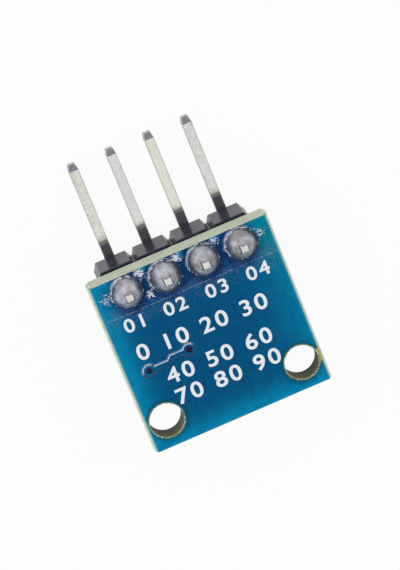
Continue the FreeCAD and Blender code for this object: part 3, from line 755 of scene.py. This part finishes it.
def floor_finish(floor):
    """White matte card, self-lit for the camera so that it shows as plain white."""
    material, add, place = new_finish("white_matte_card")
    grain = patches(add, place, 2.0, 0.3, 0.7, 0.0, 0.05, 2.0)
    card = add("BsdfDiffuse", layered(add, floor, (grain, "#E8E8E8")))
    white = add("Emission", (1, 1, 1, 1), 1.0)
    rays = add("LightPath").outputs
    mirrored = add("Math MAXIMUM", rays["Is Glossy Ray"], rays["Is Transmission Ray"])
    seen = add("Math MULTIPLY", rays["Is Camera Ray"], 0.92)
    share = add("Math MAXIMUM", seen, add("Math MULTIPLY", mirrored, 0.4))
    add("OutputMaterial", add("MixShader", share, card, white))
    return material


def white_room(surround):
    """A world that is white behind the object and lights it evenly from all round."""
    world = bpy.data.worlds.new("white_surround")
    world.use_nodes = True
    world.node_tree.nodes.clear()
    add = partial(add_node, world.node_tree)
    rays = add("LightPath").outputs
    seen = add("Math MAXIMUM", rays["Is Camera Ray"], rays["Is Transmission Ray"])
    strength = add("MapRange", seen, 0.0, 1.0, surround, 1.0)
    # Polished metal sees the white room, and overhead the dark bulk of the camera stand.
    sky = add("TexCoord").outputs["Generated"]
    overhead = add("VectorMath DOT_PRODUCT", sky, STAND_DIRECTION)
    room = add(
        "MapRange SMOOTHSTEP", overhead, math.cos(STAND_EDGE), math.cos(STAND_CORE),
        1.0, STAND_LIGHT,
    )
    strength = add("Mix", rays["Is Glossy Ray"], strength, room)
    add("OutputWorld", add("Background", (1, 1, 1, 1), strength))
    return world


# Operators, one for each piece or group of like pieces

class ModuleOperator:
    bl_options = {"REGISTER", "UNDO"}


class SENSORMODULE_OT_stage(ModuleOperator, Operator):
    """Set up the floor, the light and the camera"""
    bl_idname = "sensor_module.stage"
    bl_label = "Stage"

    def execute(self, context):
        scene = context.scene
        stage = scene.module_stage
        bm = bmesh.new()
        bmesh.ops.create_grid(
            bm, x_segments=1, y_segments=1, size=FLOOR_HALF,
            matrix=Matrix.Translation((0, 0, cad_bounds[0].z - FLOOR_GAP)),
        )
        floor = object_from(bm, "floor", floor_finish(stage.floor))
        scene.world = white_room(stage.surround)

        key = bpy.data.lights.new("key_lamp", "AREA")
        key.energy = stage.key_power
        key.shape = "DISK"
        key.size = LAMP_WIDTH
        lamp = bpy.data.objects.new("key_lamp", key)
        lamp.location = LAMP_PLACE
        lamp.rotation_euler = (LAMP_TARGET - LAMP_PLACE).to_track_quat("-Z", "Y").to_euler()
        scene.collection.objects.link(lamp)

        lens = bpy.data.cameras.new("camera")
        lens.sensor_fit = "VERTICAL"
        lens.sensor_height = 36
        lens.lens = stage.lens
        lens.clip_start = 0.01
        lens.clip_end = 10
        camera = bpy.data.objects.new("camera", lens)
        back = CAMERA_RIGHT.cross(CAMERA_UP)
        turn = Matrix((CAMERA_RIGHT, CAMERA_UP, back)).transposed().to_4x4()
        camera.matrix_world = Matrix.Translation(CAMERA_PLACE) @ turn
        scene.collection.objects.link(camera)
        scene.camera = camera
        scene.view_settings.view_transform = "Standard"
        return {"FINISHED"}


class SENSORMODULE_OT_laminate(ModuleOperator, Operator):
    """Finish the laminate: fibrous cut edges and browned mounting holes"""
    bl_idname = "sensor_module.laminate"
    bl_label = "Laminate"

    def execute(self, context):
        dress(laminate_finish(context.scene.module_board), "board_core")
        return {"FINISHED"}


class SENSORMODULE_OT_solder_mask(ModuleOperator, Operator):
    """Finish the solder mask of both sides"""
    bl_idname = "sensor_module.solder_mask"
    bl_label = "Solder mask"

    def execute(self, context):
        board = context.scene.module_board
        dress(mask_finish("glossy_solder_mask_fluxed", board, True), "solder_mask_solder_side")
        dress(mask_finish("glossy_solder_mask", board, False), "solder_mask_component_side")
        return {"FINISHED"}


class SENSORMODULE_OT_copper(ModuleOperator, Operator):
    """Finish the copper layers, the links and the plated holes"""
    bl_idname = "sensor_module.copper"
    bl_label = "Copper and plating"

    def execute(self, context):
        dress(
            copper_finish(), "ground_plane_solder_side", "jumper_track_solder_side",
            "ground_plane_component_side", "supply_track", "supply_branch_track", "data_track",
            "clock_track", *["link_through_board_" + name for name in LINKS],
        )
        dress(
            tinned_finish("levelled_tin_on_copper", "#C4C2C0", 0.35), "spare_terminal_lands",
            *["plated_hole_%d" % number for number in PIN_NUMBERS],
        )
        return {"FINISHED"}


def groove_rail(bm, grow, height, board):
    """Edges of a closed line round the jumper track and its links, grown from the track's edge."""
    known = set(bm.edges)
    half = board.jumper_half_width + grow
    ring = link_radius + board.jumper_half_width - LINK_LAP + grow
    left, right = link_places["left"], link_places["right"]
    knee_x = right.x - board.jumper_knee
    lower_knee = Vector((knee_x - (right.y - left.y), left.y, height))
    upper_knee = Vector((knee_x, right.y, height))
    # The track turns by 45 degrees at each bend, so its corners are mitred at half of that.
    side = Vector((half * math.tan(math.radians(22.5)), -half, 0))
    mouth = math.asin(half / ring)

    def arc(link, start_angle):
        """Draws an arc round a link, open where the track runs in, and gives its two ends."""
        centre = Vector((link.x, link.y, 0))
        start = centre + Vector((ring * math.cos(start_angle), ring * math.sin(start_angle), 0))
        start.z = height
        first = bm.verts.new(start)
        spun = bmesh.ops.spin(
            bm, geom=[first], cent=centre, axis=(0, 0, 1), angle=2 * math.pi - 2 * mouth,
            steps=20, use_merge=False,
        )
        return first, spun["geom_last"][0]

    def run(start, end, *corners):
        """Draws one side of the track from arc to arc."""
        for corner in corners:
            start = draw_to(bm, start, corner)
        bmesh.ops.contextual_create(bm, geom=[start, end])

    left_first, left_last = arc(left, mouth)
    right_first, right_last = arc(right, math.pi + mouth)
    run(left_last, right_first, lower_knee + side, upper_knee + side)
    run(right_last, left_first, upper_knee - side, lower_knee - side)
    return [edge for edge in bm.edges if edge not in known]


class SENSORMODULE_OT_jumper_relief(ModuleOperator, Operator):
    """Model the grooves that the mask leaves beside the jumper track, and its sagged links"""
    bl_idname = "sensor_module.jumper_relief"
    bl_label = "Jumper relief"

    def execute(self, context):
        board = context.scene.module_board
        bm = bmesh.new()
        rails = []
        steps = 6
        for index in range(steps + 1):
            share = index / steps
            dip = board.groove_depth * (0.5 - 0.5 * math.cos(2 * math.pi * share))
            rails.append(groove_rail(bm, board.groove_width * share, mask_top - dip, board))
        for inner, outer in zip(rails, rails[1:]):
            bmesh.ops.bridge_loops(bm, edges=inner + outer)
        bmesh.ops.recalc_face_normals(bm, faces=bm.faces)
        if sum(face.normal.z for face in bm.faces) < 0:
            bmesh.ops.reverse_faces(bm, faces=bm.faces)
        # Slopes that face away from the joints get a painted highlight.
        for face in bm.faces:
            face.material_index = int(face.normal.xy.dot(HIGHLIGHT_FACING) > HIGHLIGHT_LEAST_SLOPE)
        piece_from(
            bm, "jumper_grooves", "solder_mask",
            groove_finish("solder_mask_groove", board, 0.0),
            groove_finish("solder_mask_groove_with_painted_highlight", board, 0.95),
        )

        bm = bmesh.new()
        for place in link_places.values():
            pit = bmesh.ops.create_circle(
                bm, cap_ends=True, segments=24, radius=PIT_RADIUS,
                matrix=Matrix.Translation((place.x, place.y, mask_top + PIT_LIFT)),
            )
            faces = list({face for vert in pit["verts"] for face in vert.link_faces})
            bmesh.ops.inset_individual(bm, faces=faces, thickness=PIT_RIM, depth=-PIT_DEPTH)
        piece_from(bm, "link_pits", "solder_mask", link_finish())
        return {"FINISHED"}


def number_line(text, height, centre, settings):
    """A mesh of printed numbers, their height and centre given on the mask's face."""
    curve = bpy.data.curves.new("number_line", "FONT")
    curve.body = text
    curve.align_x = "CENTER"
    curve.offset = settings.stroke_growth
    curve.space_character = settings.letter_spacing
    curve.resolution_u = 6
    curve.extrude = 0.5  # one unit thick, which ink_thickness then scales
    source = bpy.data.objects.new("number_line", curve)
    bpy.context.scene.collection.objects.link(source)
    bpy.context.view_layer.update()
    depsgraph = bpy.context.evaluated_depsgraph_get()
    mesh = bpy.data.meshes.new_from_object(source.evaluated_get(depsgraph))
    bpy.data.objects.remove(source)
    bpy.data.curves.remove(curve)
    xs, ys, _ = zip(*(vert.co for vert in mesh.vertices))
    scale = height / (max(ys) - min(ys))
    shift = Matrix.Translation((-(min(xs) + max(xs)) / 2, -(min(ys) + max(ys)) / 2, 0.5))
    size = Matrix.Diagonal((scale * settings.letter_width, scale, settings.ink_thickness, 1))
    mesh.transform(Matrix.Translation((*centre, mask_top)) @ size @ shift)
    return mesh


class SENSORMODULE_OT_print(ModuleOperator, Operator):
    """Print plain numbers on the mask: one beside each pin and three lines below"""
    bl_idname = "sensor_module.print_numbers"
    bl_label = "Printed numbers"

    def execute(self, context):
        settings = context.scene.module_print
        texts = (settings.first_line, settings.second_line, settings.third_line)
        lines = [
            (text, settings.line_height, (x * MM, y * MM))
            for text, (x, y) in zip(texts, LINE_PLACES)
        ]
        lines += [
            ("%02d" % number, settings.pin_number_height, (x * PIN_NUMBER_SPREAD, PIN_NUMBER_Y))
            for number, x in zip(PIN_NUMBERS, pin_xs)
        ]
        bm = bmesh.new()
        for line in lines:
            mesh = number_line(*line, settings)
            bm.from_mesh(mesh)
            bpy.data.meshes.remove(mesh)
        bmesh.ops.remove_doubles(bm, verts=bm.verts, dist=PRINT_MERGE_DISTANCE)
        bmesh.ops.dissolve_degenerate(bm, edges=bm.edges, dist=PRINT_MERGE_DISTANCE)
        bmesh.ops.recalc_face_normals(bm, faces=bm.faces)
        piece_from(bm, "printed_numbers", "solder_mask", ink_finish(settings.ink))
        return {"FINISHED"}


class SENSORMODULE_OT_solder_joints(ModuleOperator, Operator):
    """Model the four solder joints: full domes that rise a little up their tails"""
    bl_idname = "sensor_module.solder_joints"
    bl_label = "Solder joints"

    def execute(self, context):
        solder = context.scene.module_solder
        finish = solder_finish("satin_hand_soldered_tin", solder.solder)
        # The section goes up inside the barrel, round the dome and in along the tail.
        barrel = pin_half * 1.5
        profile = [(0, joint_low.z), (barrel, joint_low.z), (barrel, copper_top)]
        for index in range(DOME_RINGS):
            angle = math.radians(RING_STEP * index)
            rise = solder.joint_height * math.sin(angle)
            profile.append((joint_radius * math.cos(angle), copper_top + rise))
        for share, climb in MENISCUS:
            profile.append((share * pin_half, copper_top + solder.joint_height * climb))
        for number, x in zip(PIN_NUMBERS, pin_xs):
            bm = turned(profile, DOME_SIDES)
            seed = Vector((3.1 * number, 1.7 * number, 0.4 * number))
            for vert in bm.verts:
                climb = max(0.0, vert.co.z - copper_top) / solder.joint_height
                fade = min(1.0, 4 * climb) * min(1.0, max(0.0, 5 * (1 - climb)))
                lump = lumps(vert.co, seed, 0.62, 0.25, 0.4)
                vert.co += vert.normal * (lump * solder.lumpiness * fade)
            bmesh.ops.translate(bm, verts=bm.verts, vec=(x, row_y, 0))
            piece = piece_from(bm, "soldered_dome_%d" % number, "solder", finish)
            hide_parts("solder_joint_%d" % number)
        return {"FINISHED"}


class SENSORMODULE_OT_flux(ModuleOperator, Operator):
    """Model the ragged collar of dried flux round the foot of each solder joint, dark partly as
    painted shade
    """
    bl_idname = "sensor_module.flux_collars"
    bl_label = "Flux collars"

    def execute(self, context):
        finish = flux_and_shade_finish(context.scene.module_board)
        reach = context.scene.module_solder.flux_reach
        profile = [
            (joint_radius + reach * share + offset * MM, mask_top + height * MM)
            for share, offset, height in COLLAR
        ]
        for number, x in zip(PIN_NUMBERS, pin_xs):
            bm = turned(profile, COLLAR_SIDES, closed=True)
            seed = Vector((5.3 * number, 2.9 * number, 0.8 * number))
            for vert in bm.verts:
                outward = Vector((vert.co.x, vert.co.y, 0))
                share = max(0.0, (outward.length - joint_radius) / reach)
                ragged = lumps(outward, seed, 0.35, 0.12, 0.5)
                vert.co += outward.normalized() * (ragged * 0.45 * reach * share)
            bmesh.ops.translate(bm, verts=bm.verts, vec=(x, row_y, 0))
            piece_from(bm, "flux_collar_%d" % number, "solder", finish)
        return {"FINISHED"}


def make_pin(number, x, header, materials):
    """One square wire, drawn from the tip of its tail, round its bend and on to its far tip."""
    bend_y = row_y + pin_half + header.bend_radius
    bm = bmesh.new()
    grid = bmesh.ops.create_grid(
        bm, x_segments=1, y_segments=1, size=header.tail_tip_width / 2,
        matrix=Matrix.Translation((x, row_y, pin_high.z)),
    )
    tail_end = grid["verts"][0].link_faces[0]

    def advance(face, offset, growth=1.0):
        """Draws the wire on from an end face, which only the tail's own end keeps."""
        made = bmesh.ops.extrude_face_region(bm, geom=[face])
        verts = [item for item in made["geom"] if isinstance(item, bmesh.types.BMVert)]
        end = next(item for item in made["geom"] if isinstance(item, bmesh.types.BMFace))
        bmesh.ops.translate(bm, verts=verts, vec=offset)
        centre = Matrix.Translation(-end.calc_center_median())
        bmesh.ops.scale(bm, verts=verts, vec=(growth, growth, growth), space=centre)
        if face is not tail_end:
            bmesh.ops.delete(bm, geom=[face], context="FACES_ONLY")
        return end

    taper, margin = header.tail_tip_length, 0.02 * MM
    face = advance(tail_end, (0, 0, -taper), 2 * pin_half / header.tail_tip_width)
    face = advance(face, (0, 0, strip_low.z - pin_high.z + taper))
    spun = bmesh.ops.spin(
        bm, geom=[face, *face.edges, *face.verts], cent=(x, bend_y, strip_low.z),
        axis=(1, 0, 0), angle=math.radians(90), steps=8, use_merge=False,
    )
    face = next(item for item in spun["geom_last"] if isinstance(item, bmesh.types.BMFace))
    face = advance(face, (0, pin_high.y - header.tip_length - bend_y, 0))
    advance(face, (0, header.tip_length, 0), header.tip_width / (2 * pin_half))
    bmesh.ops.remove_doubles(bm, verts=bm.verts, dist=MERGE_DISTANCE)
    bmesh.ops.recalc_face_normals(bm, faces=bm.faces)
    # The flanks of both tapers are swaged, and the ends and the wire between are bright.
    for flank in bm.faces:
        centre = flank.calc_center_median()
        tail_flank = pin_high.z - taper < centre.z < pin_high.z - margin
        tip_flank = pin_high.y - header.tip_length < centre.y < pin_high.y - margin
        flank.material_index = int(tail_flank or tip_flank)
    round_edges(bm, header.pin_edge)
    # The bend's steps of 11.25 degrees stay smooth, and the swaged flanks keep their crisp ends.
    name = "drawn_pin_%d" % number
    piece = piece_from(bm, name, "pin_plating", *materials, even=True, crease=12)
    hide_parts("header_pin_%d" % number)


class SENSORMODULE_OT_header_pins(ModuleOperator, Operator):
    """Model the four bent pins with rounded edges and swaged ends"""
    bl_idname = "sensor_module.header_pins"
    bl_label = "Header pins"

    def execute(self, context):
        header = context.scene.module_header
        materials = (pin_finish(header.plating), swaged_finish(header.swaged_tip))
        for number, x in zip(PIN_NUMBERS, pin_xs):
            make_pin(number, x, header, materials)
        return {"FINISHED"}


class SENSORMODULE_OT_header_strip(ModuleOperator, Operator):
    """Round the edges of the moulded strip and give it its plastic"""
    bl_idname = "sensor_module.header_strip"
    bl_label = "Header strip"

    def execute(self, context):
        header = context.scene.module_header
        finish = plastic_finish("moulded_black_polyester", header.plastic, 0.18, 0.12)
        edge = header.plastic_edge
        rounded_copy("header_strip", "moulded_strip", "header_plastic", edge, finish)
        return {"FINISHED"}


class SENSORMODULE_OT_sensor(ModuleOperator, Operator):
    """Round and finish the sensor's package, and finish its chip, pad and terminals"""
    bl_idname = "sensor_module.sensor"
    bl_label = "Sensor"

    def execute(self, context):
        parts = context.scene.module_parts
        mould = plastic_finish("transfer_moulded_epoxy", parts.mould, 0.50, 0.05)
        rounded_copy("sensor_package", "moulded_sensor", "sensor_mould", parts.part_edge, mould)
        dress(silicon_finish(parts.silicon), "sensor_chip")
        tinned = tinned_finish("plated_terminal_tin", "#CFCDC6", 0.30)
        dress(tinned, "sensor_ground_pad", "sensor_terminals")
        return {"FINISHED"}


class SENSORMODULE_OT_chip_parts(ModuleOperator, Operator):
    """Round and finish the two resistors and the capacitor"""
    bl_idname = "sensor_module.chip_parts"
    bl_label = "Resistors and capacitor"

    def execute(self, context):
        parts = context.scene.module_parts
        caps = tinned_finish("matte_tin_end_cap", parts.end_cap, 0.42)
        alumina = fired_finish("fired_alumina", parts.ceramic, "#CFCABB", 0.45)
        overcoat = fired_finish("screened_glass_overcoat", parts.overcoat, "#2C2D33", 0.22)
        tan = fired_finish("fired_titanate_ceramic", parts.capacitor, "#8E6B45", 0.38)
        for name in RESISTORS:
            dress(alumina, name + "_resistor_body")
            dress(overcoat, name + "_resistor_coating")
        dress(tan, "capacitor_body")
        for name in (*[name + "_resistor" for name in RESISTORS], "capacitor"):
            edge = parts.part_edge / 2
            rounded_copy(name + "_end_caps", name + "_caps", "end_cap_plating", edge, caps)
        return {"FINISHED"}


class SENSORMODULE_OT_part_solder(ModuleOperator, Operator):
    """Finish the oven-reflowed solder of the small parts"""
    bl_idname = "sensor_module.part_solder"
    bl_label = "Reflowed solder"

    def execute(self, context):
        dress(
            solder_finish("reflowed_solder", "#C2C0C2"), "sensor_solder", "capacitor_solder",
            *[name + "_resistor_solder" for name in RESISTORS],
        )
        return {"FINISHED"}


class SENSORMODULE_PT_panel(Panel):
    """Lists the module's pieces and their settings"""
    bl_idname = "SENSORMODULE_PT_panel"
    bl_label = "Sensor module"
    bl_space_type = "VIEW_3D"
    bl_region_type = "UI"
    bl_category = "Sensor module"

    def draw(self, context):
        for name in SETTINGS:
            box = self.layout.box()
            group = getattr(context.scene, name)
            for key in group.__annotations__:
                box.prop(group, key)
        for operator in OPERATORS:
            self.layout.operator(operator.bl_idname)


SETTINGS = {
    "module_board": BoardSettings,
    "module_print": PrintSettings,
    "module_solder": SolderSettings,
    "module_header": HeaderSettings,
    "module_parts": PartSettings,
    "module_stage": StageSettings,
}
# In the order in which main calls them
OPERATORS = (
    SENSORMODULE_OT_stage,
    SENSORMODULE_OT_laminate,
    SENSORMODULE_OT_solder_mask,
    SENSORMODULE_OT_copper,
    SENSORMODULE_OT_jumper_relief,
    SENSORMODULE_OT_print,
    SENSORMODULE_OT_solder_joints,
    SENSORMODULE_OT_flux,
    SENSORMODULE_OT_header_pins,
    SENSORMODULE_OT_header_strip,
    SENSORMODULE_OT_sensor,
    SENSORMODULE_OT_chip_parts,
    SENSORMODULE_OT_part_solder,
)


def register():
    for name, group in SETTINGS.items():
        bpy.utils.register_class(group)
        setattr(bpy.types.Scene, name, PointerProperty(type=group))
    for operator in OPERATORS:
        bpy.utils.register_class(operator)
    bpy.utils.register_class(SENSORMODULE_PT_panel)


def unregister():
    bpy.utils.unregister_class(SENSORMODULE_PT_panel)
    for operator in reversed(OPERATORS):
        bpy.utils.unregister_class(operator)
    for name, group in reversed(SETTINGS.items()):
        delattr(bpy.types.Scene, name)
        bpy.utils.unregister_class(group)


def main():
    register()
    for operator in OPERATORS:
        name = operator.bl_idname.split(".")[1]
        getattr(bpy.ops.sensor_module, name)()


if __name__ == "__main__":
    main()
